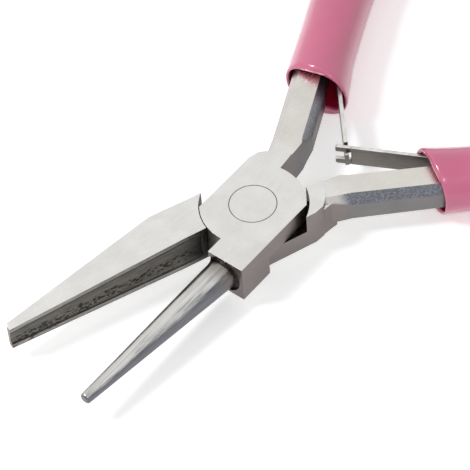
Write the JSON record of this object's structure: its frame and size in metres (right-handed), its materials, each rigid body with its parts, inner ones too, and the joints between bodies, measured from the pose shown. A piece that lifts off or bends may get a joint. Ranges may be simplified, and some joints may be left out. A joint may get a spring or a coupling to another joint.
{
  "type": "jewellery looping pliers",
  "caption": "Small spring-loaded lap joint pliers with one conical round jaw and one flat hollow-faced jaw, for bending wire into loops and rings.",
  "frame": {"origin": "on the pivot rivet's axis, at the flat underside of the lap joint", "axes": "+Z along the pivot axis, out of the upper side; +X along the open jaws' middle line, towards the jaw tips; +Y to the round jaw's side"},
  "size_m": [0.1207, 0.0839, 0.0106],
  "materials": {
    "polished_steel": "ground and polished, bright",
    "satin_steel": "ground, satin",
    "pink_vinyl": "dipped, glossy",
    "spring_steel": "bare rolled strip"
  },
  "bodies": {
    "flat_side": {"flat_jaw_half": "polished_steel", "pivot_rivet": "polished_steel", "grip_flat_side": "pink_vinyl", "leaf_tab_flat_side": "spring_steel", "leaf_rivet_flat_side": "spring_steel"},
    "round_side": {"round_jaw_half": "satin_steel", "grip_round_side": "pink_vinyl", "leaf_tab_round_side": "spring_steel", "leaf_rivet_round_side": "spring_steel"},
    "fork_spring": {"leaf_fork": "spring_steel"},
    "tongue_spring": {"leaf_tongue": "spring_steel"}
  },
  "joints": [
    {"name": "pivot", "type": "hinge", "parent": "flat_side", "child": "round_side", "pos_m": [0, 0, 0], "axis": [0, 0, 1], "range_deg": [-20.8, 0], "stiffness_Nm_per_rad": 0.8, "springref_deg": 5.73},
    {"name": "fork_flex", "type": "hinge", "parent": "flat_side", "child": "fork_spring", "pos_m": [-0.03068, 0.01605, 0.0034], "axis": [0, 0, 1], "range_deg": [0, 12.32]},
    {"name": "tongue_flex", "type": "hinge", "parent": "round_side", "child": "tongue_spring", "pos_m": [-0.03077, -0.01556, 0.0034], "axis": [0, 0, 1], "range_deg": [-11.79, 0]}
  ],
  "couplings": [
    {"joint": "fork_flex", "follows": "pivot", "ratio": -0.5919},
    {"joint": "tongue_flex", "follows": "pivot", "ratio": 0.56639}
  ]
}
